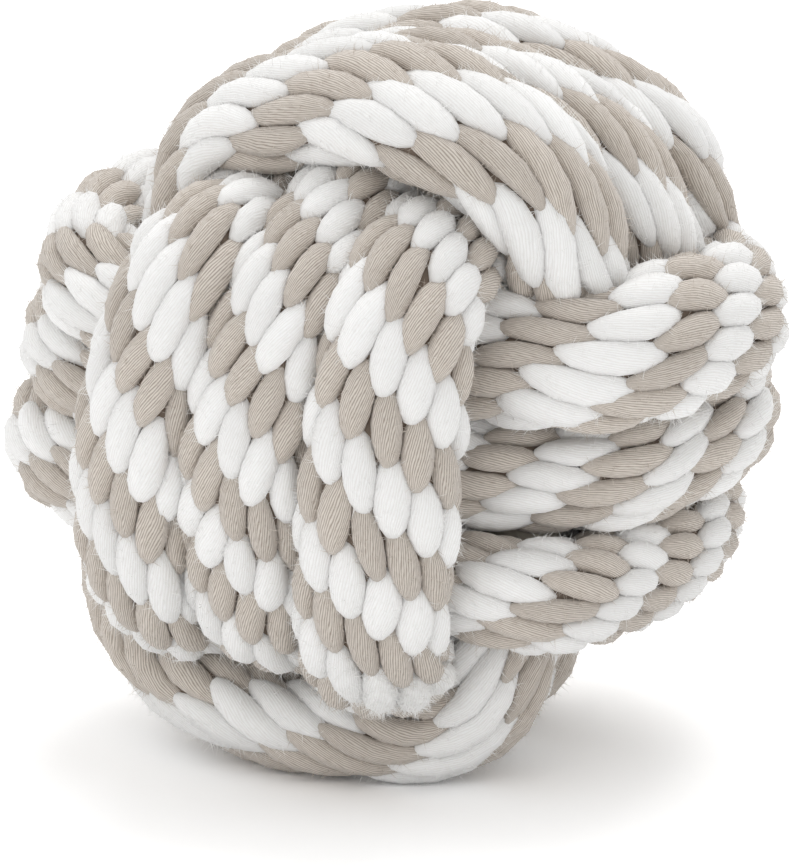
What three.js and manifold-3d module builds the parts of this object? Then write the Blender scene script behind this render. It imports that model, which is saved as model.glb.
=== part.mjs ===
import * as THREE from 'three';
import Module from 'manifold-3d';

// Rope ball dog toy: one thick soft cotton rope tied as a monkey's fist. Three bands of three turns
// lie at right angles, each passing over one neighbour and under the other, and are drawn tight
// round a small rubber ball. Millimetres, +Z up, the front of the ball toward -Y.

// The rope. It is squeezed thin where turns cross and spreads wide where a band lies in the open.
const TURNS = 3;
const ROPE_THICK = 11.8;
const ROPE_CLEARANCE = 1.7;
const PITCH = ROPE_THICK + ROPE_CLEARANCE;
const OVER_REACH = 45.9;
const UNDER_REACH = 32.1;
const STATIONS_PER_TURN = 40;
const SIDES = 8;

// The three bands in the order they are tied: how far each band sits off the middle of the ball, how
// wide its turns spread in the open, how far its ellipse leans round in its own plane, and where along
// a turn, from the middle of its first over pass, it starts to step aside to the next turn.
const TOP_OFFSET = 3.4;
const TOP_SPREAD_RATIO = 1.3;
const TOP_LEAN_ANGLE = 14.3;
const TOP_SEAM_ANGLE = 190;
const RIGHT_OFFSET = 0.35;
const RIGHT_SPREAD_RATIO = 1.05;
const RIGHT_LEAN_ANGLE = -14.3;
const RIGHT_SEAM_ANGLE = 225;
const FRONT_OFFSET = -0.35;
const FRONT_SPREAD_RATIO = 1.3;
const FRONT_LEAN_ANGLE = -11.2;
const FRONT_SEAM_ANGLE = 260;

// Angles along a band: the step to the next turn, the join to the next band, and the tucked tails.
const SEAM_SWEEP_ANGLE = 90;
const JOIN_START_ANGLE = 26;
const JOIN_SWEEP_ANGLE = 38;
const TAIL_ANGLE = 86;

// Tightening: rounds of easing, the round from which slack round the ball inside is drawn in, how strongly
// the rope straightens, keeps its lay and is drawn in, and how much rope counts as one stretch.
const TIGHTENING_ROUNDS = 100;
const DRAWING_ROUND = 60;
const STRAIGHTENING_SHARE = 0.3;
const KEEPING_SHARE = 0.03;
const DRAWING_SHARE = 0.2;
const NEAREST_STRETCH = 21.6;

// The ball inside, and the dipped seals on the two cut ends of the rope.
const CORE_DIAMETER = 39.4;
const CORE_CLEARANCE = 0.3;
const SEAL_DIAMETER = 10;
const SEAL_LENGTH = 2;
const SEAL_CLEARANCE = 0.3;
const CORE_SEGMENTS = 24;
const SEAL_SEGMENTS = 16;

// How the ball rests: its turn about the vertical, its tip and roll off the upright, and how deep the
// rope is pressed flat on the floor.
const REST_TURN_ANGLE = -28.4;
const REST_TIP_ANGLE = 4.9;
const REST_ROLL_ANGLE = 7.9;
const FLAT_DEPTH = ROPE_THICK / 10;

const RIGHT = new THREE.Vector3(1, 0, 0);
const FRONT = new THREE.Vector3(0, -1, 0);
const TOP = new THREE.Vector3(0, 0, 1);
const CYLINDER_AXIS = new THREE.Vector3(0, 1, 0);

// Each band starts on an over pass: the top band underneath, the right band on the right face, the
// front band at the back.
const BANDS = [
  {
    over: TOP, under: RIGHT, stack: FRONT, start: 180, sense: 1, firstRow: 1,
    offset: TOP_OFFSET, spread: TOP_SPREAD_RATIO, lean: TOP_LEAN_ANGLE, seam: TOP_SEAM_ANGLE,
  },
  {
    over: RIGHT, under: FRONT, stack: TOP, start: 0, sense: 1, firstRow: 1,
    offset: RIGHT_OFFSET, spread: RIGHT_SPREAD_RATIO, lean: RIGHT_LEAN_ANGLE, seam: RIGHT_SEAM_ANGLE,
  },
  {
    over: FRONT, under: TOP, stack: RIGHT, start: 180, sense: -1, firstRow: -1,
    offset: FRONT_OFFSET, spread: FRONT_SPREAD_RATIO, lean: FRONT_LEAN_ANGLE, seam: FRONT_SEAM_ANGLE,
  },
];
const BAND_SWEEP_ANGLE = 360 * TURNS - 180;

const { degToRad, lerp, smoothstep } = THREE.MathUtils;

// A station of the laid rope: its centre, and how wide the rope spreads there.
function onBand(band, along) {
  let row = (TURNS - 1) / 2;
  for (let turn = 0; turn < TURNS - 1; turn += 1) {
    const seam = band.seam + 360 * turn;
    row -= smoothstep(along, seam, seam + SEAM_SWEEP_ANGLE);
  }
  const angle = degToRad(band.start + band.sense * along);
  const lean = degToRad(band.lean);
  const over = OVER_REACH * Math.cos(angle);
  const under = UNDER_REACH * Math.sin(angle);
  const spread = lerp(1, band.spread, Math.cos(angle) ** 2);
  const centre = new THREE.Vector3();
  centre.addScaledVector(band.over, over * Math.cos(lean) - under * Math.sin(lean));
  centre.addScaledVector(band.under, over * Math.sin(lean) + under * Math.cos(lean));
  centre.addScaledVector(band.stack, PITCH * band.firstRow * row * spread + band.offset);
  return { centre, spread };
}

function sweepAngles(from, to) {
  const steps = Math.round(((to - from) * STATIONS_PER_TURN) / 360);
  return Array.from({ length: steps + 1 }, (_, i) => lerp(from, to, i / steps));
}

// The rope runs through the three bands in turn; at a corner of the ball it eases from the last over
// pass of one band into the first over pass of the next.
function layRope() {
  const stations = [];
  BANDS.forEach((band, i) => {
    const from = i === 0 ? -TAIL_ANGLE : -JOIN_START_ANGLE;
    const last = i === BANDS.length - 1;
    const to = BAND_SWEEP_ANGLE + (last ? TAIL_ANGLE : JOIN_START_ANGLE);
    sweepAngles(from, to).forEach((along) => stations.push(onBand(band, along)));
    if (last) return;
    sweepAngles(0, JOIN_SWEEP_ANGLE).slice(1, -1).forEach((along) => {
      const leaving = onBand(band, to + along);
      const arriving = onBand(BANDS[i + 1], along - JOIN_START_ANGLE - JOIN_SWEEP_ANGLE);
      const share = smoothstep(along, 0, JOIN_SWEEP_ANGLE);
      stations.push({
        centre: leaving.centre.lerp(arriving.centre, share),
        spread: lerp(leaving.spread, arriving.spread, share),
      });
    });
  });
  return stations;
}

// Two stations count as neighbours along the rope when they are closer than this many stations.
function neighbourCount(stations) {
  let length = 0;
  for (let i = 1; i < stations.length; i += 1) {
    length += stations[i].centre.distanceTo(stations[i - 1].centre);
  }
  return Math.ceil((NEAREST_STRETCH * (stations.length - 1)) / length);
}

// Gives each station the rope's own directions there: along it, out of the ball, and across.
function addDirections(stations) {
  stations.forEach((station, i) => {
    const next = stations[Math.min(i + 1, stations.length - 1)].centre;
    const previous = stations[Math.max(i - 1, 0)].centre;
    station.along = next.clone().sub(previous).normalize();
    station.out = station.centre.clone();
    station.out.addScaledVector(station.along, -station.out.dot(station.along)).normalize();
    station.across = station.out.clone().cross(station.along);
  });
}

function halfWidth(station, direction) {
  const across = station.spread * station.across.dot(direction);
  return (ROPE_THICK / 2) * Math.hypot(across, station.out.dot(direction));
}

// Turns that lie too close push each other off.
function pushApart(stations, neighbours) {
  const pushes = stations.map(() => ({ sum: new THREE.Vector3(), contacts: 0 }));
  const apart = new THREE.Vector3();
  for (let i = 0; i < stations.length; i += 1) {
    for (let j = i + neighbours; j < stations.length; j += 1) {
      apart.subVectors(stations[i].centre, stations[j].centre);
      const distance = apart.length();
      apart.divideScalar(distance);
      const clear = halfWidth(stations[i], apart) + halfWidth(stations[j], apart) + ROPE_CLEARANCE;
      if (distance < clear) {
        apart.multiplyScalar((clear - distance) / 2);
        pushes[i].sum.add(apart);
        pushes[j].sum.sub(apart);
        pushes[i].contacts += 1;
        pushes[j].contacts += 1;
      }
    }
  }
  stations.forEach((station, i) => {
    station.centre.addScaledVector(pushes[i].sum, 1 / Math.max(pushes[i].contacts, 1));
  });
}

// Eases a tucked end straight over one rope thickness.
function straightenEnd(run) {
  const count = run.findIndex(({ centre }) => centre.distanceTo(run[0].centre) > ROPE_THICK);
  const way = run[0].centre.clone().sub(run[count].centre).divideScalar(count);
  for (let i = 1; i < count; i += 1) {
    run[i].centre.copy(run[count].centre).addScaledVector(way, count - i);
  }
}

// Moves a point toward the middle of the ball, or out to the least reach if it would pass that.
function drawIn(point, way, least) {
  point.setLength(Math.max(point.length() - way, least));
}

// Draws the laid rope tight: it straightens where it can, keeps near its lay, is drawn in until it bears
// on the ball inside, and is held off itself and off that ball.
function tighten(stations) {
  const laid = stations.map((station) => station.centre.clone());
  const neighbours = neighbourCount(stations);
  const least = (CORE_DIAMETER + ROPE_THICK) / 2 + CORE_CLEARANCE;
  for (let round = 0; round < TIGHTENING_ROUNDS; round += 1) {
    if (round >= DRAWING_ROUND) {
      const slack = Math.min(...stations.map(({ centre }) => centre.length())) - least;
      stations.forEach((station, i) => {
        drawIn(station.centre, DRAWING_SHARE * slack, least);
        drawIn(laid[i], DRAWING_SHARE * slack, least);
      });
    }
    stations.forEach((station, i) => station.centre.lerp(laid[i], KEEPING_SHARE));
    const before = stations.map((station) => station.centre.clone());
    for (let i = 1; i < stations.length - 1; i += 1) {
      const between = before[i - 1].clone().lerp(before[i + 1], 0.5);
      stations[i].centre.lerp(between, STRAIGHTENING_SHARE);
    }
    straightenEnd(stations);
    straightenEnd([...stations].reverse());
    for (let pass = 0; pass < 2; pass += 1) {
      addDirections(stations);
      pushApart(stations, neighbours);
      stations.forEach(({ centre }) => drawIn(centre, 0, least));
    }
  }
}

// The least clear space between any two stretches of rope that are not neighbours.
function leastGap(stations) {
  const neighbours = neighbourCount(stations);
  const way = new THREE.Vector3();
  let least = Infinity;
  for (let i = 0; i < stations.length; i += 1) {
    for (let j = i + neighbours; j < stations.length; j += 1) {
      way.subVectors(stations[j].centre, stations[i].centre);
      const distance = way.length();
      way.divideScalar(distance);
      const gap = distance - halfWidth(stations[i], way) - halfWidth(stations[j], way);
      least = Math.min(least, gap);
    }
  }
  return least;
}

// One unbroken tube along the stations, closed at both cut ends.
function ropeTube(stations) {
  const positions = [];
  stations.forEach((station) => {
    for (let side = 0; side < SIDES; side += 1) {
      const angle = (2 * Math.PI * side) / SIDES;
      const vertex = station.centre.clone();
      vertex.addScaledVector(station.across, (ROPE_THICK / 2) * station.spread * Math.cos(angle));
      vertex.addScaledVector(station.out, (ROPE_THICK / 2) * Math.sin(angle));
      positions.push(vertex.x, vertex.y, vertex.z);
    }
  });
  const index = [];
  for (let i = 0; i < stations.length - 1; i += 1) {
    for (let side = 0; side < SIDES; side += 1) {
      const a = i * SIDES + side;
      const b = i * SIDES + ((side + 1) % SIDES);
      index.push(a, b, a + SIDES, b, b + SIDES, a + SIDES);
    }
  }
  const end = (stations.length - 1) * SIDES;
  for (let side = 1; side < SIDES - 1; side += 1) {
    index.push(0, side + 1, side);
    index.push(end, end + side, end + side + 1);
  }
  const geometry = new THREE.BufferGeometry();
  geometry.setAttribute('position', new THREE.Float32BufferAttribute(positions, 3));
  geometry.setIndex(index);
  return geometry;
}

// A dipped seal lies just off the cut face of the rope, square to it.
function sealGeometry(station, outward) {
  const geometry = new THREE.CylinderGeometry(
    SEAL_DIAMETER / 2, SEAL_DIAMETER / 2, SEAL_LENGTH, SEAL_SEGMENTS);
  const way = station.along.clone().multiplyScalar(outward);
  geometry.applyQuaternion(new THREE.Quaternion().setFromUnitVectors(CYLINDER_AXIS, way));
  const middle = station.centre.clone().addScaledVector(way, SEAL_CLEARANCE + SEAL_LENGTH / 2);
  geometry.translate(middle.x, middle.y, middle.z);
  return geometry;
}

const wasm = await Module();
wasm.setup();

function toSolid(geometry) {
  const corners = new Map();
  const vertices = [];
  const triangles = [];
  const position = geometry.getAttribute('position');
  Array.from(geometry.getIndex().array).forEach((i) => {
    const corner = [position.getX(i), position.getY(i), position.getZ(i)];
    const key = corner.map((value) => value.toFixed(4)).join();
    if (!corners.has(key)) {
      corners.set(key, vertices.length / 3);
      vertices.push(...corner);
    }
    triangles.push(corners.get(key));
  });
  return new wasm.Manifold(new wasm.Mesh({
    numProp: 3,
    vertProperties: new Float32Array(vertices),
    triVerts: new Uint32Array(triangles),
  }));
}

function toGeometry(solid) {
  const mesh = solid.getMesh();
  const geometry = new THREE.BufferGeometry();
  geometry.setAttribute('position', new THREE.Float32BufferAttribute(mesh.vertProperties, 3));
  geometry.setIndex(Array.from(mesh.triVerts));
  geometry.computeVertexNormals();
  return geometry;
}

// Presses the rope flat on the floor, square to the vertical.
function pressFlat(geometry) {
  geometry.computeBoundingBox();
  const size = geometry.boundingBox.getSize(new THREE.Vector3());
  const middle = geometry.boundingBox.getCenter(new THREE.Vector3());
  const floor = geometry.boundingBox.min.z + FLAT_DEPTH;
  const below = new THREE.BoxGeometry(2 * size.x, 2 * size.y, size.z);
  below.translate(middle.x, middle.y, floor - size.z / 2);
  return toGeometry(toSolid(geometry).subtract(toSolid(below)));
}

const stations = layRope();
tighten(stations);
const rest = new THREE.Euler(
  degToRad(REST_TIP_ANGLE), degToRad(REST_ROLL_ANGLE), degToRad(REST_TURN_ANGLE), 'ZXY');
stations.forEach((station) => station.centre.applyEuler(rest));
addDirections(stations);

let ropeLength = 0;
for (let i = 1; i < stations.length; i += 1) {
  ropeLength += stations[i].centre.distanceTo(stations[i - 1].centre);
}
console.log(`rope length ${ropeLength.toFixed(0)} mm`);
console.log(`rope's least gap to itself ${leastGap(stations).toFixed(2)} mm`);

const rope = pressFlat(ropeTube(stations));
const core = new THREE.SphereGeometry(CORE_DIAMETER / 2, CORE_SEGMENTS, CORE_SEGMENTS / 2);
const startSeal = sealGeometry(stations[0], -1);
const finishSeal = sealGeometry(stations[stations.length - 1], 1);

rope.computeBoundingBox();
const underside = rope.boundingBox.getCenter(new THREE.Vector3()).setZ(rope.boundingBox.min.z);

const toy = new THREE.Group();
function addPiece(name, geometry, color, roughness) {
  geometry.translate(-underside.x, -underside.y, -underside.z);
  const material = new THREE.MeshStandardMaterial({ color, roughness, metalness: 0 });
  const piece = new THREE.Mesh(geometry, material);
  piece.name = name;
  toy.add(piece);
}
addPiece('rope', rope, '#d2ccc4', 0.95);
addPiece('core_ball', core, '#6b5a4a', 0.7);
addPiece('end_seal_start', startSeal, '#e6e0d2', 0.5);
addPiece('end_seal_finish', finishSeal, '#e6e0d2', 0.5);

export default toy;
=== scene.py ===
import math

import bpy
import numpy as np
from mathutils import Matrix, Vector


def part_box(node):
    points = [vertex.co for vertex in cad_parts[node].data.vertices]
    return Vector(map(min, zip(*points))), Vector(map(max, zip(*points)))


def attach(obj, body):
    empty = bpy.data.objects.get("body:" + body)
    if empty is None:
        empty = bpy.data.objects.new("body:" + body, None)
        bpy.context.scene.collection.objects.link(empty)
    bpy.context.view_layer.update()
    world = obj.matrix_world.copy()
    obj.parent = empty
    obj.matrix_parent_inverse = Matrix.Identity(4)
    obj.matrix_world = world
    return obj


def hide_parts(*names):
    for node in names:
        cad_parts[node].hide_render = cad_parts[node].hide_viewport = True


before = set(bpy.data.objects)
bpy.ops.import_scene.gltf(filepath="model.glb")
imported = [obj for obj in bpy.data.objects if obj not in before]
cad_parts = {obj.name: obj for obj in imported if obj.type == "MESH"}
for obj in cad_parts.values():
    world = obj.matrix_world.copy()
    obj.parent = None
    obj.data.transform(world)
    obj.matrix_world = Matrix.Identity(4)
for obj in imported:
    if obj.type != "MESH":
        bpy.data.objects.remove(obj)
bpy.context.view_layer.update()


# Core ball: a solid moulded rubber ball that the knot is tied round and drawn tight on.
# It is held by the rope alone, and none of it shows between the turns.
def linear(code):
    """An sRGB hex colour as the linear red, green, blue and alpha that a shader takes."""
    parts = [int(code[i:i + 2], 16) / 255 for i in (1, 3, 5)]
    return [c / 12.92 if c <= 0.04045 else ((c + 0.055) / 1.055) ** 2.4 for c in parts] + [1.0]


def add_node(tree, kind, inputs=None, **settings):
    """Adds a node with its settings; an input is a value, a socket, or a node's first output."""
    node = tree.nodes.new(kind)
    for name, value in settings.items():
        setattr(node, name, value)
    for socket, value in (inputs or {}).items():
        if isinstance(value, bpy.types.Node):
            value = value.outputs[0]
        if isinstance(value, bpy.types.NodeSocket):
            tree.links.new(value, node.inputs[socket])
        else:
            node.inputs[socket].default_value = value
    return node


def new_material(name):
    """An empty node material, with its tree and its output node."""
    material = bpy.data.materials.new(name)
    material.use_nodes = True
    material.node_tree.nodes.clear()
    return material, material.node_tree, add_node(material.node_tree, "ShaderNodeOutputMaterial")


def paint(node_name, material):
    """Gives a CAD node's object this one material."""
    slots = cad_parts[node_name].data.materials
    slots.clear()
    slots.append(material)


def mottled(name, fleck, dark, light, roughness, relief=None):
    """A material that wavers between two shades in flecks of this size, with a relief where one is given."""
    material, tree, output = new_material(name)
    place = add_node(tree, "ShaderNodeTexCoord")
    noise = add_node(tree, "ShaderNodeTexNoise", {"Vector": place.outputs["Object"], "Scale": 1 / fleck})
    tone = add_node(tree, "ShaderNodeValToRGB", {"Fac": noise.outputs["Fac"]})
    tone.color_ramp.elements[0].color = linear(dark)
    tone.color_ramp.elements[1].color = linear(light)
    shader = add_node(tree, "ShaderNodeBsdfPrincipled", {"Base Color": tone, "Roughness": roughness})
    if relief:
        bump = add_node(tree, "ShaderNodeBump", {
            "Height": noise.outputs["Fac"], "Strength": relief["strength"], "Distance": relief["depth"]})
        tree.links.new(bump.outputs[0], shader.inputs["Normal"])
    tree.links.new(shader.outputs[0], output.inputs["Surface"])
    return material


# Moulded rubber: dull, with the fine grain of the mould, about a third of a millimetre.
RUBBER_GRAIN = 0.00035
RUBBER_RELIEF = dict(strength=0.3, depth=0.0002)
paint("core_ball", mottled("moulded_rubber", RUBBER_GRAIN, "#5e5043", "#75645a", 0.7, RUBBER_RELIEF))


# Rope route: one soft solid-braid cotton rope, about two metres long, tied as a monkey's fist: three
# bands of three turns at right angles, laid turn by turn and then drawn tight. Sizes are in millimetres,
# MM of them to a metre of the frame, and angles in degrees.
MM = 1000
TURNS = 3
ROPE_THICK = 11.8
ROPE_CLEARANCE = 1.7
PITCH = ROPE_THICK + ROPE_CLEARANCE
OVER_REACH = 45.9
UNDER_REACH = 32.1
STATIONS_PER_TURN = 40
SEAM_SWEEP = 90
JOIN_START = 26
JOIN_SWEEP = 38
TAIL = 86
BAND_SWEEP = 360 * TURNS - 180
TIGHTENING_ROUNDS = 100
DRAWING_ROUND = 60
STRAIGHTENING_SHARE = 0.3
KEEPING_SHARE = 0.03
PUSHES_A_ROUND = 2
DRAWING_SHARE = 0.2
NEAREST_STRETCH = 21.6
CORE_DIAMETER = 39.4
CORE_CLEARANCE = 0.3
REST_TURN = -28.4
REST_TIP = 4.9
REST_ROLL = 7.9
RIGHT, FRONT, TOP = np.array([1.0, 0, 0]), np.array([0, -1.0, 0]), np.array([0, 0, 1.0])
BANDS = (
    dict(over=TOP, under=RIGHT, stack=FRONT, start=180, sense=1, first_row=1,
         offset=3.4, spread=1.3, lean=14.3, seam=190),
    dict(over=RIGHT, under=FRONT, stack=TOP, start=0, sense=1, first_row=1,
         offset=0.35, spread=1.05, lean=-14.3, seam=225),
    dict(over=FRONT, under=TOP, stack=RIGHT, start=180, sense=-1, first_row=-1,
         offset=-0.35, spread=1.3, lean=-11.2, seam=260),
)


def ease(value, low, high):
    """A smooth step from 0 at low to 1 at high."""
    t = np.clip((value - low) / (high - low), 0, 1)
    return t * t * (3 - 2 * t)


def unit(vectors):
    """The vectors at length 1."""
    return vectors / np.linalg.norm(vectors, axis=-1, keepdims=True)


def on_band(number, along):
    """Rows of centre, spread and pass number at these angles along a band."""
    band = BANDS[number]
    seams = [band["seam"] + 360 * turn for turn in range(TURNS - 1)]
    row = (TURNS - 1) / 2 - sum(ease(along, seam, seam + SEAM_SWEEP) for seam in seams)
    angle = np.radians(band["start"] + band["sense"] * along)
    lean = math.radians(band["lean"])
    over, under = OVER_REACH * np.cos(angle), UNDER_REACH * np.sin(angle)
    spread = 1 + (band["spread"] - 1) * np.cos(angle) ** 2
    centre = np.outer(over * math.cos(lean) - under * math.sin(lean), band["over"])
    centre += np.outer(over * math.sin(lean) + under * math.cos(lean), band["under"])
    centre += np.outer(PITCH * band["first_row"] * row * spread + band["offset"], band["stack"])
    return np.column_stack((centre, spread, 2 * TURNS * number + along / 180))


def sweep_angles(start, stop):
    """Angles from start to stop, one for each station."""
    return np.linspace(start, stop, round((stop - start) * STATIONS_PER_TURN / 360) + 1)


def lay_rope():
    """Runs through the three bands in turn, easing from one into the next at a corner of the ball."""
    rows = []
    for number in range(len(BANDS)):
        last = number == len(BANDS) - 1
        start = -TAIL if number == 0 else -JOIN_START
        stop = BAND_SWEEP + (TAIL if last else JOIN_START)
        rows.append(on_band(number, sweep_angles(start, stop)))
        if not last:
            along = sweep_angles(0, JOIN_SWEEP)[1:-1]
            share = ease(along, 0, JOIN_SWEEP)[:, None]
            leaving = on_band(number, stop + along)
            arriving = on_band(number + 1, along - JOIN_START - JOIN_SWEEP)
            rows.append(leaving * (1 - share) + arriving * share)
    return np.vstack(rows)


def directions(centres):
    """The rope's own directions at each station: along it, out of the ball, and across."""
    ends = np.vstack((centres[:1], centres, centres[-1:]))
    along = unit(ends[2:] - ends[:-2])
    out = unit(centres - (centres * along).sum(1, keepdims=True) * along)
    return along, out, np.cross(out, along)


def straighten_end(run):
    """Keeps the first thickness of the rope straight, as its sealed end is."""
    far = int(np.argmax(np.linalg.norm(run - run[0], axis=1) > ROPE_THICK))
    share = np.arange(1, far)[:, None] / far
    run[1:far] = run[0] * (1 - share) + run[far] * share


def push_apart(centres, spread, neighbours):
    """Turns that lie too close push each other off."""
    _, out, across = directions(centres)
    apart = centres[:, None] - centres[None]
    distance = np.linalg.norm(apart, axis=2)
    np.fill_diagonal(distance, 1)
    apart /= distance[:, :, None]
    sideways = spread[:, None] * np.einsum("ik,ijk->ij", across, apart)
    half = ROPE_THICK / 2 * np.hypot(sideways, np.einsum("ik,ijk->ij", out, apart))
    lack = half + half.T + ROPE_CLEARANCE - distance
    number = np.arange(len(centres))
    lack[np.abs(number[:, None] - number) < neighbours] = 0
    lack = np.maximum(lack, 0)
    contacts = np.maximum((lack > 0).sum(1), 1)
    return centres + np.einsum("ij,ijk->ik", lack / 2, apart) / contacts[:, None]


def draw_in(points, way, least):
    """Moves points toward the middle of the ball, but not past the least reach."""
    length = np.linalg.norm(points, axis=1, keepdims=True)
    return points * np.maximum(length - way, least) / length


def tighten(laid, spread):
    """Draws the laid rope tight: it straightens, its turns push apart, and all of it bears on the core."""
    length = np.linalg.norm(np.diff(laid, axis=0), axis=1).sum()
    neighbours = math.ceil(NEAREST_STRETCH * (len(laid) - 1) / length)
    least = (CORE_DIAMETER + ROPE_THICK) / 2 + CORE_CLEARANCE
    centres = laid.copy()
    for tightening_round in range(TIGHTENING_ROUNDS):
        if tightening_round >= DRAWING_ROUND:
            slack = np.linalg.norm(centres, axis=1).min() - least
            centres = draw_in(centres, DRAWING_SHARE * slack, least)
            laid = draw_in(laid, DRAWING_SHARE * slack, least)
        centres += KEEPING_SHARE * (laid - centres)
        between = (centres[:-2] + centres[2:]) / 2
        centres[1:-1] += STRAIGHTENING_SHARE * (between - centres[1:-1])
        straighten_end(centres)
        straighten_end(centres[::-1])
        for _ in range(PUSHES_A_ROUND):
            centres = draw_in(push_apart(centres, spread, neighbours), 0, least)
    return centres


def turned(angle, axis):
    """A turn by an angle in degrees about X, Y or Z."""
    c, s = math.cos(math.radians(angle)), math.sin(math.radians(angle))
    matrix = np.eye(3)
    first, second = (axis + 1) % 3, (axis + 2) % 3
    matrix[first, first] = matrix[second, second] = c
    matrix[first, second], matrix[second, first] = -s, s
    return matrix


laid = lay_rope()
resting = turned(REST_TURN, 2) @ turned(REST_TIP, 0) @ turned(REST_ROLL, 1)
stations = tighten(laid[:, :3], laid[:, 3]) @ resting.T
knot_centre = np.mean(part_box("core_ball"), axis=0) * MM


# Rope heart: the imported middle of the braid, which shows only in the gaps between the stitches, painted
# dark as their shade.
# Its section is round where it lies free, and flat where turns, the ball inside and the floor press it.
STATION_STEP = 1.25
SECTION_POINTS = 36
FINER_POINTS = 4
STATIONS_AT_ONCE = 50
OTHERS_STEP = 2
STITCH_RISE = 1.8
HALF_THICKNESS = 7.1 - STITCH_RISE
SIDE_SQUEEZE = 1.2
PRESSING = 6
HEART_DEPTH = 0.3
PULL_SPAN = 0.5
FAR = 1000.0
TINY = 1e-6
LEAST_SLOPE = 0.001

# How the hand that tied it pulled single turns out of the regular lay: the pass, counted along the rope
# in half turns, the way right, to the front and up, how much wider the turn lies, and how it twists.
PULLED_TURNS = (
    dict(at=-0.15, right=0.0, front=4.0, top=0.0, wider=1.5, twist=0),
    dict(at=0.2, right=1.0, front=1.0, top=3.2, wider=1.8, twist=0),
    dict(at=0.45, right=-1.2, front=0.0, top=0.0, wider=0.5, twist=0),
    dict(at=0.95, right=1.0, front=0.0, top=4.0, wider=1.7, twist=4),
    dict(at=1.4, right=1.0, front=2.5, top=0.5, wider=1.0, twist=0),
    dict(at=1.8, right=-4.0, front=0.0, top=1.0, wider=0.0, twist=0),
    dict(at=2.45, right=-3.0, front=0.0, top=0.0, wider=1.0, twist=0),
    dict(at=3.1, right=3.0, front=-1.0, top=0.5, wider=0.0, twist=8),
    dict(at=3.65, right=0.0, front=-2.5, top=0.5, wider=1.0, twist=0),
    dict(at=4.25, right=0.5, front=-2.5, top=0.0, wider=1.0, twist=0),
    dict(at=4.5, right=-2.5, front=0.0, top=0.0, wider=1.0, twist=0),
    dict(at=5.0, right=1.0, front=0.0, top=-0.8, wider=0.0, twist=0),
    dict(at=5.75, right=-3.0, front=-1.5, top=-1.5, wider=0.5, twist=0),
    dict(at=6.25, right=0.0, front=0.0, top=6.0, wider=2.5, twist=-3),
    dict(at=6.65, right=0.0, front=2.5, top=0.0, wider=0.5, twist=0),
    dict(at=7.6, right=0.0, front=0.0, top=3.0, wider=1.0, twist=0),
    dict(at=8.15, right=-1.5, front=0.0, top=1.2, wider=0.0, twist=-12),
    dict(at=9.0, right=-2.0, front=0.0, top=1.0, wider=0.0, twist=0),
    dict(at=9.55, right=-0.5, front=0.0, top=-2.5, wider=1.0, twist=0),
    dict(at=10.0, right=-3.0, front=0.0, top=-0.5, wider=0.0, twist=9),
    dict(at=11.0, right=-1.5, front=0.0, top=2.0, wider=0.0, twist=0),
    dict(at=11.55, right=2.0, front=0.0, top=-2.0, wider=0.5, twist=0),
    dict(at=12.6, right=0.5, front=4.5, top=3.0, wider=1.0, twist=0),
    dict(at=13.0, right=1.0, front=0.0, top=2.0, wider=0.0, twist=-5),
    dict(at=13.3, right=0.0, front=0.5, top=0.5, wider=0.5, twist=0),
    dict(at=13.65, right=-2.5, front=0.0, top=0.0, wider=0.5, twist=0),
    dict(at=14.6, right=0.0, front=6.0, top=4.0, wider=1.0, twist=0),
    dict(at=15.1, right=0.0, front=0.0, top=1.5, wider=0.0, twist=-7),
    dict(at=15.3, right=0.0, front=0.5, top=0.5, wider=0.5, twist=0),
    dict(at=15.65, right=2.5, front=0.0, top=0.0, wider=0.5, twist=0),
    dict(at=16.2, right=2.0, front=0.0, top=-1.5, wider=1.0, twist=0),
    dict(at=16.6, right=0.5, front=6.0, top=4.5, wider=1.5, twist=0),
    dict(at=17.0, right=1.5, front=0.0, top=0.0, wider=1.0, twist=-10),
)

# How the stitches lie on the turns that show: how far each turn is drawn out along the rope, and how many
# rows and columns its stitches have crept along and round it.
COLUMNS = 12
STITCH_LAY = (
    dict(at=-0.5, stretch=1.54, rows=0.86, columns=-4.9),
    dict(at=0.3, stretch=1.54, rows=0.86, columns=3.0),
    dict(at=0.62, stretch=1.4, rows=1.32, columns=0.4),
    dict(at=1.0, stretch=1.4, rows=1.32, columns=0.5),
    dict(at=1.6, stretch=1.37, rows=1.35, columns=0.44),
    dict(at=2.4, stretch=1.33, rows=2.02, columns=1.1),
    dict(at=5.3, stretch=1.19, rows=2.15, columns=0.83),
    dict(at=5.75, stretch=1.17, rows=1.55, columns=0.04),
    dict(at=6.5, stretch=1.16, rows=1.55, columns=0.13),
    dict(at=6.75, stretch=1.17, rows=0.78, columns=0.75),
    dict(at=7.3, stretch=1.18, rows=0.75, columns=0.93),
    dict(at=7.6, stretch=1.19, rows=1.48, columns=0.54),
    dict(at=8.15, stretch=1.2, rows=1.44, columns=0.75),
    dict(at=10.15, stretch=1.0, rows=2.19, columns=0.0),
    dict(at=12.95, stretch=1.05, rows=1.82, columns=0.0),
    dict(at=14.95, stretch=0.92, rows=2.24, columns=0.0),
    dict(at=16.95, stretch=0.92, rows=2.07, columns=0.75),
    dict(at=17.1, stretch=0.92, rows=2.07, columns=0.75),
    dict(at=17.3, stretch=0.68, rows=2.07, columns=0.75),
)


def spline(values, knots, places):
    """A smooth curve through the values, taken at these places."""
    i = np.clip(np.searchsorted(knots, places, side="right") - 1, 0, len(knots) - 2)
    slope = np.gradient(values, knots, axis=0)
    gap = (knots[i + 1] - knots[i])[:, None]
    t = ((places - knots[i])[:, None]) / gap
    return ((1 + 2 * t) * (1 - t) ** 2 * values[i] + t * (1 - t) ** 2 * gap * slope[i]
            + t * t * (3 - 2 * t) * values[i + 1] + t * t * (t - 1) * gap * slope[i + 1])


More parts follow.
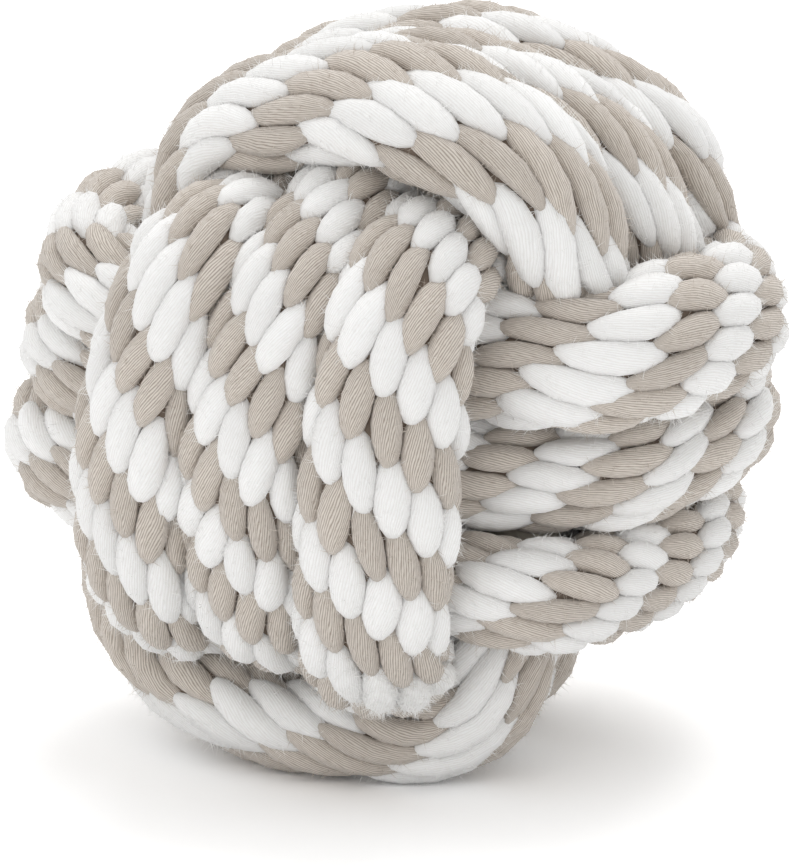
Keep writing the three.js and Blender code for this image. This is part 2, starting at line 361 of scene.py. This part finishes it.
knots = np.concatenate(([0], np.cumsum(np.linalg.norm(np.diff(stations, axis=0), axis=1))))
rope_length = knots[-1]
places = np.linspace(0, rope_length, round(rope_length / STATION_STEP) + 1)
centres = spline(stations, knots, places)
spread = np.interp(places, knots, laid[:, 3])
pass_number = np.interp(places, knots, laid[:, 4])
half_width = PITCH / 2 * spread + SIDE_SQUEEZE - STITCH_RISE
twist_rate = np.zeros(len(places))
for turn in PULLED_TURNS:
    nearness = np.clip((pass_number - turn["at"]) / PULL_SPAN, -1, 1)
    share = np.cos(math.pi / 2 * nearness) ** 2
    way = turn["right"] * RIGHT + turn["front"] * FRONT + turn["top"] * TOP
    centres += np.outer(share, resting @ way)
    half_width += turn["wider"] * share
    twist_rate += math.tan(math.radians(turn["twist"])) / HALF_THICKNESS * share
lay_at = [turn["at"] for turn in STITCH_LAY]
stretch, crept_rows, crept_columns = (
    np.interp(pass_number, lay_at, [turn[what] for turn in STITCH_LAY])
    for what in ("stretch", "rows", "columns"))
twist = np.cumsum(twist_rate * STATION_STEP) + 2 * math.pi / COLUMNS * crept_columns
along, out, across = directions(centres)


def press_limit(first, last, way):
    """How far the rope's surface may go each way from its stations before something presses on it."""
    near = np.abs(places[first:last, None] - places[::OTHERS_STEP]) < NEAREST_STRETCH
    offset = centres[::OTHERS_STEP] - centres[first:last, None]
    reach = np.einsum("isk,ijk->isj", way, offset)
    square = (offset ** 2).sum(2)[:, None] / 2
    room = np.where((reach > 0) & ~near[:, None], square / np.maximum(reach, TINY), FAR)
    limit = room.min(2)
    depth = np.linalg.norm(centres[first:last], axis=1)
    inward = -np.einsum("isk,ik->is", way, centres[first:last] / depth[:, None])
    to_core = (depth - CORE_DIAMETER / 2)[:, None] / np.maximum(inward, LEAST_SLOPE)
    height = centres[first:last, 2] + knot_centre[2] - STITCH_RISE
    to_floor = height[:, None] / np.maximum(-way[:, :, 2], LEAST_SLOPE)
    return limit, to_core, to_floor


def rope_sections():
    """Rings of points round the rope's surface, evenly spaced from its inner side."""
    fine = FINER_POINTS * SECTION_POINTS
    angles = twist[:, None] + np.linspace(-math.pi / 2, 1.5 * math.pi, fine + 1)
    free = 1 / np.hypot(np.cos(angles) / half_width[:, None], np.sin(angles) / HALF_THICKNESS)
    rings = np.empty((len(places), SECTION_POINTS + 1, 3))
    even = np.linspace(0, 1, SECTION_POINTS + 1)
    for first in range(0, len(places), STATIONS_AT_ONCE):
        last = min(first + STATIONS_AT_ONCE, len(places))
        way = (across[first:last, None] * np.cos(angles[first:last])[:, :, None]
               + out[first:last, None] * np.sin(angles[first:last])[:, :, None])
        limits = (free[first:last],) + press_limit(first, last, way)
        reach = sum(limit ** -PRESSING for limit in limits) ** (-1 / PRESSING)
        points = centres[first:last, None] + way * reach[:, :, None]
        steps = np.linalg.norm(np.diff(points, axis=1), axis=2)
        girth = np.concatenate((np.zeros((last - first, 1)), np.cumsum(steps, axis=1)), axis=1)
        girth /= girth[:, -1:]
        for i in range(last - first):
            for k in range(3):
                rings[first + i, :, k] = np.interp(even, girth[i], points[i, :, k])
    return rings


def new_object(name, data):
    """An object of this mesh, lamp or camera, in the scene."""
    made = bpy.data.objects.new(name, data)
    bpy.context.scene.collection.objects.link(made)
    return made


rings = (rope_sections() + knot_centre) / MM
lengthwise = np.gradient(rings, axis=0)
wrapped = np.concatenate((rings[:, -2:-1], rings, rings[:, 1:2]), axis=1)
crosswise = np.gradient(wrapped, axis=1)[:, 1:-1]
outward = unit(np.cross(crosswise, lengthwise))

# Packed braid seen down in the gaps: the same cotton, painted dark for the shade there, as little light
# reaches it.
GAP_FLECK = 0.0008
heart_painted_shade = mottled("packed_braid_painted_shade", GAP_FLECK, "#5d5146", "#84766a", 0.95)

inner = (rings - outward * HEART_DEPTH / MM)[:, :-1]
count = inner.shape[1]
corner = np.arange(inner.shape[0] * count).reshape(inner.shape[:2])
ahead = np.roll(corner, -1, axis=1)
walls = np.stack((corner[:-1], ahead[:-1], ahead[1:], corner[1:]), axis=-1).reshape(-1, 4)[:, ::-1]
caps = [list(map(int, corner[0])), list(map(int, corner[-1][::-1]))]
mesh = bpy.data.meshes.new("rope_heart")
mesh.from_pydata(inner.reshape(-1, 3).tolist(), [], walls.tolist() + caps)
mesh.polygons.foreach_set("use_smooth", np.ones(len(mesh.polygons), dtype=bool))
mesh.materials.append(heart_painted_shade)
rope_heart = new_object("rope_heart", mesh)
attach(rope_heart, "root")
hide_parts("rope")


# Rope stitches: the braid's strands, each a soft bundle of yarns. Twelve columns of leaf-shaped stitches
# run along the rope; each dives under the next, and white and taupe ones take turns.
STITCH_PITCH = 8.1
STITCH_OVERLAP = 1.28
STITCH_TILT = 0.6
STITCH_DIP = 0.6
COLUMN_SHIFT = -1 / 3
LEAN = 6.0
STITCH_SIDES = 9
STITCH_RINGS = 8
STITCH_VARIETY = 0.2
FLOOR_CLEARANCE = 0.02
SEED = 7
# Each colour's between shade is painted shade, laid in the grooves where yarn lies beside yarn.
COLOURS = (
    dict(name="white", first_row=0, width=1.32, depth=2.0, yarn="#f5f5f4", between="#ebe9e7", soft=0.4),
    dict(name="taupe", first_row=1, width=1.17, depth=1.8, yarn="#d8d0c7", between="#a3988d", soft=0.15),
)

rows_before = crept_rows + np.concatenate(([0], np.cumsum(STATION_STEP / STITCH_PITCH / stretch[1:])))
row_count = rows_before[-1]

sleeve_mesh = bpy.data.meshes.new("rope_sleeve")
across_count = rings.shape[1]
corner = np.arange(rings.shape[0] * across_count).reshape(rings.shape[:2])
walls = np.stack((corner[:-1, :-1], corner[:-1, 1:], corner[1:, 1:], corner[1:, :-1]), axis=-1)
walls = walls.reshape(-1, 4)[:, ::-1]
sleeve_mesh.from_pydata(rings.reshape(-1, 3).tolist(), [], walls.tolist())
round_share = np.linspace(0, 1, across_count)
lengthways, round_rope = np.meshgrid(rows_before / row_count, round_share, indexing="ij")
flat = np.column_stack((lengthways.ravel(), round_rope.ravel())).astype(np.float32)
loop_corner = np.empty(len(sleeve_mesh.loops), dtype=np.int32)
sleeve_mesh.loops.foreach_get("vertex_index", loop_corner)
flat_layer = sleeve_mesh.uv_layers.new(name="rope_flat")
flat_layer.data.foreach_set("uv", flat[loop_corner].ravel())
outward_layer = sleeve_mesh.attributes.new("rope_outward", "FLOAT_VECTOR", "POINT")
outward_layer.data.foreach_set("vector", outward.astype(np.float32).ravel())


def calc(tree, operation, *terms):
    """A math node on one to three terms, each a value, a socket or a node."""
    return add_node(tree, "ShaderNodeMath", dict(enumerate(terms)), operation=operation)


def stored(tree, name):
    """A vector that a mesh carries under this name."""
    return add_node(tree, "GeometryNodeInputNamedAttribute", {"Name": name}, data_type="FLOAT_VECTOR")


def new_tree(name, inputs):
    """A Geometry Nodes tree with these inputs, as pairs of name and kind, and its input sockets."""
    tree = bpy.data.node_groups.new(name, "GeometryNodeTree")
    for socket, kind in inputs:
        tree.interface.new_socket(socket, in_out="INPUT", socket_type="NodeSocket" + kind)
    tree.interface.new_socket("Geometry", in_out="OUTPUT", socket_type="NodeSocketGeometry")
    return tree, add_node(tree, "NodeGroupInput").outputs


def stitch_tree():
    """Lays leaf-shaped stitches of one colour over the sleeve, in columns along the rope."""
    tree, sizes = new_tree("rope_stitches", (
        ("Geometry", "Geometry"), ("Columns", "Int"), ("Rows", "Int"), ("First Row", "Float"),
        ("Row Step", "Float"), ("Column Shift", "Float"), ("Half Length", "Float"),
        ("Half Width", "Float"), ("Lean", "Float"), ("Depth", "Float"), ("Tilt", "Float"),
        ("Dip", "Float"), ("Variety", "Float"), ("Seed", "Int"), ("Material", "Material")))

    # One point for each stitch, which keeps its place along and round the rope and a random number.
    total = calc(tree, "MULTIPLY", sizes["Columns"], sizes["Rows"])
    points = add_node(tree, "GeometryNodePoints", {"Count": total})
    number = add_node(tree, "GeometryNodeInputIndex")
    column = calc(tree, "FLOORED_MODULO", number, sizes["Columns"])
    pair = calc(tree, "FLOOR", calc(tree, "DIVIDE", number, sizes["Columns"]))
    row = calc(tree, "MULTIPLY_ADD", pair, float(len(COLOURS)), sizes["First Row"])
    shifted = calc(tree, "MULTIPLY_ADD", column, sizes["Column Shift"], row)
    lengthways = calc(tree, "MULTIPLY", shifted, sizes["Row Step"])
    round_rope = calc(tree, "DIVIDE", column, sizes["Columns"])
    chance = add_node(tree, "FunctionNodeRandomValue", {"Seed": sizes["Seed"]}, data_type="FLOAT")
    place = add_node(tree, "ShaderNodeCombineXYZ", {
        "X": lengthways, "Y": round_rope, "Z": chance.outputs[1]})
    points = add_node(tree, "GeometryNodeStoreNamedAttribute", {
        "Geometry": points, "Name": "stitch_place", "Value": place},
        data_type="FLOAT_VECTOR", domain="POINT")
    before = add_node(tree, "FunctionNodeCompare", {0: lengthways, 1: 0.0}, operation="LESS_THAN")
    after = add_node(tree, "FunctionNodeCompare", {0: lengthways, 1: 1.0}, operation="GREATER_THAN")
    beyond = add_node(tree, "FunctionNodeBooleanMath", {0: before, 1: after}, operation="OR")
    points = add_node(tree, "GeometryNodeDeleteGeometry", {"Geometry": points, "Selection": beyond})

    # The stitch: a plump spindle that knows where on itself each point lies.
    ball = add_node(tree, "GeometryNodeMeshUVSphere", {
        "Segments": STITCH_SIDES, "Rings": STITCH_RINGS, "Radius": 1.0})
    spindle = add_node(tree, "GeometryNodeTransform", {
        "Geometry": ball, "Rotation": (math.pi / 2, 0, 0)})
    position = add_node(tree, "GeometryNodeInputPosition")
    spindle = add_node(tree, "GeometryNodeStoreNamedAttribute", {
        "Geometry": spindle, "Name": "stitch_local", "Value": position},
        data_type="FLOAT_VECTOR", domain="POINT")
    laid = add_node(tree, "GeometryNodeInstanceOnPoints", {"Points": points, "Instance": spindle})
    laid = add_node(tree, "GeometryNodeRealizeInstances", {"Geometry": laid})

    # Each point goes to its place on the sleeve, and in or out by the stitch's own thickness. No two
    # stitches are quite alike: the random number makes some broader and some lean more.
    local = add_node(tree, "ShaderNodeSeparateXYZ", {0: stored(tree, "stitch_local")}).outputs
    place = add_node(tree, "ShaderNodeSeparateXYZ", {0: stored(tree, "stitch_place")}).outputs
    odds = calc(tree, "SUBTRACT", place["Z"], 0.5)
    broader = calc(tree, "MULTIPLY_ADD", odds, sizes["Variety"], 1.0)
    half_width = calc(tree, "MULTIPLY", broader, sizes["Half Width"])
    lean = calc(tree, "MULTIPLY_ADD", odds, half_width, sizes["Lean"])
    lengthways = calc(tree, "MULTIPLY_ADD", local["Y"], sizes["Half Length"], place["X"])
    lengthways = add_node(tree, "ShaderNodeClamp", {"Value": lengthways})
    leaning = calc(tree, "MULTIPLY_ADD", local["Y"], lean, place["Y"])
    round_rope = calc(tree, "MULTIPLY_ADD", local["X"], half_width, leaning)
    round_rope = calc(tree, "FRACT", round_rope)
    spot = add_node(tree, "ShaderNodeCombineXYZ", {"X": lengthways, "Y": round_rope})
    flat = stored(tree, "rope_flat")
    surface, outward = (add_node(tree, "GeometryNodeSampleUVSurface", {
        "Mesh": sizes["Geometry"], "Value": value, "UV Map": flat, "Sample UV": spot},
        data_type="FLOAT_VECTOR") for value in (position, stored(tree, "rope_outward")))
    height = calc(tree, "MULTIPLY", local["Z"], sizes["Depth"])
    height = calc(tree, "MULTIPLY_ADD", local["Y"], sizes["Tilt"], height)
    sunk = calc(tree, "MULTIPLY", calc(tree, "POWER", local["Y"], 2.0), sizes["Dip"])
    height = calc(tree, "SUBTRACT", height, sunk)
    rise = add_node(tree, "ShaderNodeVectorMath", {0: outward, "Scale": height}, operation="SCALE")
    position = add_node(tree, "ShaderNodeVectorMath", {0: surface, 1: rise}, operation="ADD")
    laid = add_node(tree, "GeometryNodeSetPosition", {"Geometry": laid, "Position": position})
    laid = add_node(tree, "GeometryNodeSetShadeSmooth", {"Geometry": laid})
    laid = add_node(tree, "GeometryNodeSetMaterial", {"Geometry": laid, "Material": sizes["Material"]})
    add_node(tree, "NodeGroupOutput", {0: laid})
    return tree


# Cotton yarn: matt and soft. Fine lines run along each stitch where yarn lies beside yarn, twisted a little
# and never quite even, with painted shade and a slight bump in them, and light goes some way into the white.
STITCH_GIRTH = 13.0
YARN_WIDTH = 0.31
YARNS = round(STITCH_GIRTH / YARN_WIDTH)
YARN_TWIST = 0.6
YARN_WANDER = 0.2
YARN_CREST = 0.4
YARN_GROOVE = 0.08
FIBRE_STREAKS = (4.0, 1.6, 60.0)
STITCH_TONES = (0.93, 1.04)
LIGHT_DEPTH = 1.2


def stitch_material(colour):
    """Soft cotton yarns lying side by side along a stitch, with painted shade between yarns."""
    material, tree, output = new_material(colour["name"] + "_cotton_yarn")
    local, place = (add_node(tree, "ShaderNodeSeparateXYZ", {
        0: add_node(tree, "ShaderNodeAttribute", attribute_name=name).outputs["Vector"]}).outputs
        for name in ("stitch_local", "stitch_place"))
    turn = calc(tree, "ARCTAN2", local["Z"], local["X"])
    spot = add_node(tree, "ShaderNodeCombineXYZ", {"X": turn, "Y": local["Y"], "Z": place["Z"]})
    streaks = add_node(tree, "ShaderNodeVectorMath", {0: spot, 1: FIBRE_STREAKS}, operation="MULTIPLY")
    fibre = add_node(tree, "ShaderNodeTexNoise", {"Vector": streaks, "Scale": 1.0, "Detail": 5.0})
    twisted = calc(tree, "MULTIPLY_ADD", local["Y"], YARN_TWIST, turn)
    wander = calc(tree, "MULTIPLY_ADD", fibre.outputs["Fac"], YARN_WANDER, twisted)
    wave = calc(tree, "SINE", calc(tree, "MULTIPLY", wander, float(YARNS)))
    yarn = add_node(tree, "ShaderNodeMapRange", {
        "Value": wave, "From Min": -1.0, "From Max": YARN_CREST})
    # The between colour is painted shade in the grooves between yarns; the yarn colour is on the crests.
    tint = add_node(tree, "ShaderNodeMix", {
        "Factor": yarn, 6: linear(colour["between"]), 7: linear(colour["yarn"])}, data_type="RGBA")
    own = add_node(tree, "ShaderNodeMapRange", {
        "Value": place["Z"], "To Min": STITCH_TONES[0], "To Max": STITCH_TONES[1]})
    tint = add_node(tree, "ShaderNodeHueSaturation", {"Color": tint.outputs[2], "Value": own.outputs[0]})
    bump = add_node(tree, "ShaderNodeBump", {
        "Height": wave, "Strength": 0.3, "Distance": YARN_GROOVE / MM})
    shader = add_node(tree, "ShaderNodeBsdfPrincipled", {
        "Base Color": tint, "Roughness": 0.95, "Sheen Weight": 0.2, "Sheen Roughness": 0.6,
        "Specular IOR Level": 0.2, "Subsurface Weight": colour["soft"], "Subsurface Radius": (1, 1, 1),
        "Subsurface Scale": LIGHT_DEPTH / MM, "Normal": bump})
    tree.links.new(shader.outputs[0], output.inputs["Surface"])
    return material


def grown(carrier, tree, values):
    """The mesh that a tree makes of a carrier, which is removed; no point goes below the floor."""
    layer = carrier.modifiers.new("grow", "NODES")
    layer.node_group = tree
    for socket in tree.interface.items_tree:
        if socket.in_out == "INPUT" and socket.name in values:
            layer[socket.identifier] = values[socket.name]
    evaluated = carrier.evaluated_get(bpy.context.evaluated_depsgraph_get())
    mesh = bpy.data.meshes.new_from_object(evaluated)
    bpy.data.objects.remove(carrier)
    place = np.empty(3 * len(mesh.vertices), dtype=np.float32)
    mesh.vertices.foreach_get("co", place)
    place[2::3] = np.maximum(place[2::3], FLOOR_CLEARANCE / MM)
    mesh.vertices.foreach_set("co", place)
    return mesh


girth = np.linalg.norm(np.diff(rings, axis=1), axis=2).sum(1).mean() * MM
tree = stitch_tree()
spare_rows = math.ceil(abs(COLUMN_SHIFT) * COLUMNS / len(COLOURS))
rows = math.ceil(row_count / len(COLOURS)) + 2 * spare_rows
for colour in COLOURS:
    sleeve = new_object("sleeve", sleeve_mesh)
    values = {
        "Columns": COLUMNS, "Rows": rows, "First Row": float(colour["first_row"]),
        "Row Step": 1 / row_count, "Column Shift": COLUMN_SHIFT,
        "Half Length": STITCH_OVERLAP / row_count / 2, "Half Width": colour["width"] / COLUMNS / 2,
        "Lean": math.tan(math.radians(LEAN)) * STITCH_OVERLAP * STITCH_PITCH / 2 / girth,
        "Depth": colour["depth"] / MM, "Tilt": STITCH_TILT / MM, "Dip": STITCH_DIP / MM,
        "Variety": STITCH_VARIETY, "Seed": SEED + colour["first_row"],
        "Material": stitch_material(colour),
    }
    stitches = new_object(f"rope_{colour['name']}_stitches", grown(sleeve, tree, values))
    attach(stitches, "root")
    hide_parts("rope")


# Rope fuzz: the short loose ends of cotton fibre that stand off the yarns and make their edges soft.
# It grows on what shows of the stitches, the white yarn is the fuzzier of the two, and a patch at the foot
# of the front band is worn quite fluffy.
FIBRE_LENGTH = 1.4
FIBRE_RADIUS = 0.038
FIBRE_LIE = (20, 75)
FIBRE_MIX = (0.5, 1.3)
FIBRE_SIDES = 3
FIBRE_FLECK = 0.001
UPPER_SIDE = 0.1
FUZZ_REACH = 40.0
WORN_PLACE = (0.3, -41.5, 18.3)
WORN_RADIUS = 10.0
FUZZES = (
    dict(colour="white", per_square_mm=1.2, worn=12, light="#f8f8f7", deep="#eeedeb"),
    dict(colour="taupe", per_square_mm=0.8, worn=1, light="#d8d0c7", deep="#c0b6ab"),
)


def fuzz_tree():
    """Stands tapered fibres of mixed length, lying well over, on the outer side of the stitches."""
    tree, sizes = new_tree("rope_fuzz", (
        ("Geometry", "Geometry"), ("Density", "Float"), ("Length", "Float"), ("Radius", "Float"),
        ("Least Lie", "Float"), ("Most Lie", "Float"), ("Centre", "Vector"), ("Reach", "Float"),
        ("Worn Place", "Vector"), ("Worn Radius", "Float"), ("Worn Share", "Float"),
        ("Seed", "Int"), ("Material", "Material")))
    local = add_node(tree, "ShaderNodeSeparateXYZ", {0: stored(tree, "stitch_local")}).outputs
    upper = add_node(tree, "FunctionNodeCompare", {0: local["Z"], 1: UPPER_SIDE}, operation="GREATER_THAN")
    position = add_node(tree, "GeometryNodeInputPosition")
    reach = add_node(tree, "ShaderNodeVectorMath", {0: position, 1: sizes["Centre"]}, operation="DISTANCE")
    outer = add_node(tree, "FunctionNodeCompare", {0: reach.outputs["Value"], 1: sizes["Reach"]},
                     operation="GREATER_THAN")
    shows = add_node(tree, "FunctionNodeBooleanMath", {0: upper, 1: outer}, operation="AND")
    worn = add_node(tree, "ShaderNodeVectorMath", {0: position, 1: sizes["Worn Place"]}, operation="DISTANCE")
    worn = add_node(tree, "ShaderNodeMapRange", {
        "Value": worn.outputs["Value"], "From Min": 0.0, "From Max": sizes["Worn Radius"],
        "To Min": sizes["Worn Share"], "To Max": 1.0}, interpolation_type="SMOOTHSTEP")
    density = calc(tree, "MULTIPLY", worn, sizes["Density"])
    roots = add_node(tree, "GeometryNodeDistributePointsOnFaces", {
        "Mesh": sizes["Geometry"], "Selection": shows, "Density": density, "Seed": sizes["Seed"]})
    fibre = add_node(tree, "GeometryNodeMeshCone", {
        "Vertices": FIBRE_SIDES, "Radius Top": 0.0, "Radius Bottom": sizes["Radius"],
        "Depth": sizes["Length"]})
    least = add_node(tree, "ShaderNodeCombineXYZ", {"X": sizes["Least Lie"]})
    most = add_node(tree, "ShaderNodeCombineXYZ", {"X": sizes["Most Lie"], "Z": 2 * math.pi})
    spin = add_node(tree, "FunctionNodeRandomValue", {0: least, 1: most, "Seed": sizes["Seed"]},
                    data_type="FLOAT_VECTOR")
    spin = add_node(tree, "FunctionNodeEulerToRotation", {0: spin.outputs[0]})
    turned_root = add_node(tree, "FunctionNodeRotateRotation", {
        0: roots.outputs["Rotation"], 1: spin}, rotation_space="LOCAL")
    mixed = add_node(tree, "FunctionNodeRandomValue", {
        2: FIBRE_MIX[0], 3: FIBRE_MIX[1], "Seed": sizes["Seed"]}, data_type="FLOAT")
    laid = add_node(tree, "GeometryNodeInstanceOnPoints", {
        "Points": roots, "Instance": fibre.outputs["Mesh"], "Rotation": turned_root,
        "Scale": mixed.outputs[1]})
    laid = add_node(tree, "GeometryNodeRealizeInstances", {"Geometry": laid})
    laid = add_node(tree, "GeometryNodeSetMaterial", {"Geometry": laid, "Material": sizes["Material"]})
    add_node(tree, "NodeGroupOutput", {0: laid})
    return tree


def fibre_material(name, shade, deep_shade):
    """Loose cotton fibre: the yarn's own colour, a little uneven along its length."""
    material, tree, output = new_material(name)
    place = add_node(tree, "ShaderNodeTexCoord")
    uneven = add_node(tree, "ShaderNodeTexNoise", {
        "Vector": place.outputs["Object"], "Scale": 1 / FIBRE_FLECK})
    tint = add_node(tree, "ShaderNodeMix", {
        "Factor": uneven.outputs["Fac"], 6: linear(deep_shade), 7: linear(shade)}, data_type="RGBA")
    shader = add_node(tree, "ShaderNodeBsdfPrincipled", {
        "Base Color": tint.outputs[2], "Roughness": 0.9, "Specular IOR Level": 0.2})
    tree.links.new(shader.outputs[0], output.inputs["Surface"])
    return material


tree = fuzz_tree()
for number, fuzz in enumerate(FUZZES):
    colour = fuzz["colour"]
    fuzzy = new_object("fuzzy", bpy.data.objects[f"rope_{colour}_stitches"].data)
    values = {
        "Density": fuzz["per_square_mm"] * MM ** 2, "Length": FIBRE_LENGTH / MM,
        "Radius": FIBRE_RADIUS / MM, "Least Lie": math.radians(FIBRE_LIE[0]),
        "Most Lie": math.radians(FIBRE_LIE[1]),
        "Centre": (knot_centre / MM).tolist(), "Reach": FUZZ_REACH / MM, "Seed": SEED + number,
        "Worn Place": [part / MM for part in WORN_PLACE], "Worn Radius": WORN_RADIUS / MM,
        "Worn Share": float(fuzz["worn"]),
        "Material": fibre_material(f"loose_{colour}_cotton", fuzz["light"], fuzz["deep"]),
    }
    fibres = new_object(f"rope_{colour}_fuzz", grown(fuzzy, tree, values))
    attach(fibres, "root")
    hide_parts("rope")


# End seals: the rope's two cut ends, dipped in glue so that they don't fray, and tucked inside the knot.
# They keep their CAD shape and take only the look of the glue.

# Dipped glue: pale and half glossy, with slow ripples where it ran and set.
GLUE_RIPPLE = 0.0015
GLUE_RELIEF = dict(strength=0.4, depth=0.0003)
glue = mottled("dipped_glue", GLUE_RIPPLE, "#d8d0bf", "#eae4d6", 0.45, GLUE_RELIEF)
paint("end_seal_start", glue)
paint("end_seal_finish", glue)


# Floor and light: a plain white paper under the toy, a broad soft box above and behind it, and a low soft
# fill from the left front. The paper and the room look whiter to the eye than the light that they give.
FLOOR_HALF = 4.0
FLOOR_SEEN = (1.3, 1.3, 1.3, 1.0)
WHITE = (1.0, 1.0, 1.0, 1.0)
AMBIENT = 0.82
BACKDROP = 1.0


def seen_rays(tree):
    """1 for rays that show a surface to the camera, 0 for those that only carry its light."""
    rays = add_node(tree, "ShaderNodeLightPath").outputs
    seen = calc(tree, "MAXIMUM", rays["Is Camera Ray"], rays["Is Glossy Ray"])
    return calc(tree, "MAXIMUM", seen, rays["Is Transmission Ray"])


# White paper: flat and matt, so that the toy stands on nothing but its own shadow.
paper, tree, output = new_material("white_paper")
white = add_node(tree, "ShaderNodeMix", {
    "Factor": seen_rays(tree), 6: linear("#fbfbfb"), 7: FLOOR_SEEN}, data_type="RGBA")
diffuse = add_node(tree, "ShaderNodeBsdfDiffuse", {"Color": white.outputs[2]})
tree.links.new(diffuse.outputs[0], output.inputs["Surface"])
mesh = bpy.data.meshes.new("floor")
mesh.from_pydata([(x * FLOOR_HALF, y * FLOOR_HALF, 0) for x, y in ((-1, -1), (1, -1), (1, 1), (-1, 1))],
                 [], [(0, 1, 2, 3)])
mesh.materials.append(paper)
new_object("floor", mesh)

world = bpy.data.worlds.new("studio")
world.use_nodes = True
tree = world.node_tree
tree.nodes.clear()
ambient = add_node(tree, "ShaderNodeBackground", {"Color": WHITE, "Strength": AMBIENT})
backdrop = add_node(tree, "ShaderNodeBackground", {"Color": WHITE, "Strength": BACKDROP})
both = add_node(tree, "ShaderNodeMixShader", {0: seen_rays(tree), 1: ambient, 2: backdrop})
add_node(tree, "ShaderNodeOutputWorld", {"Surface": both})
bpy.context.scene.world = world

LAMPS = (
    dict(name="soft_box", place=(0.12, 0.45, 1.25), size=0.8, watts=6.6),
    dict(name="front_fill", place=(-1.1, -1.3, 0.3), size=1.2, watts=4.8),
)
AIM = np.array([0, 0, 0.05])
for lamp in LAMPS:
    light = bpy.data.lights.new(lamp["name"], "AREA")
    light.size = lamp["size"]
    light.energy = lamp["watts"]
    light_object = new_object(lamp["name"], light)
    light_object.location = lamp["place"]
    aim = AIM - np.array(lamp["place"])
    light_object.rotation_euler = (math.atan2(math.hypot(aim[0], aim[1]), -aim[2]), 0,
                                   math.atan2(aim[1], aim[0]) - math.pi / 2)


# Camera: a long lens about a metre off and a little above the ball, framed as in the photograph, which is
# 800 by 866 points; a point is this many millimetres at the ball's middle.
IMAGE_WIDTH, IMAGE_HEIGHT = 800, 866
CAMERA_DISTANCE = 945.0
CAMERA_RISE = 14.0
POINT_SIZE = 0.13113
CENTRE_SEEN = (410.35, 382.11)
SENSOR = 36.0
tip = math.radians(CAMERA_RISE)
upward = np.array([0, math.sin(tip), math.cos(tip)])
forward = np.array([0, math.cos(tip), -math.sin(tip)])
target = knot_centre - POINT_SIZE * (CENTRE_SEEN[0] - IMAGE_WIDTH / 2) * RIGHT
target -= POINT_SIZE * (IMAGE_HEIGHT / 2 - CENTRE_SEEN[1]) * upward
camera = bpy.data.cameras.new("camera")
camera.sensor_fit = "VERTICAL"
camera.sensor_height = SENSOR
camera.lens = SENSOR * CAMERA_DISTANCE / (POINT_SIZE * IMAGE_HEIGHT)
camera_object = new_object("camera", camera)
camera_object.location = (target - forward * CAMERA_DISTANCE) / MM
camera_object.rotation_euler = (math.pi / 2 - tip, 0, 0)
bpy.context.scene.camera = camera_object
bpy.context.scene.view_settings.view_transform = "Standard"
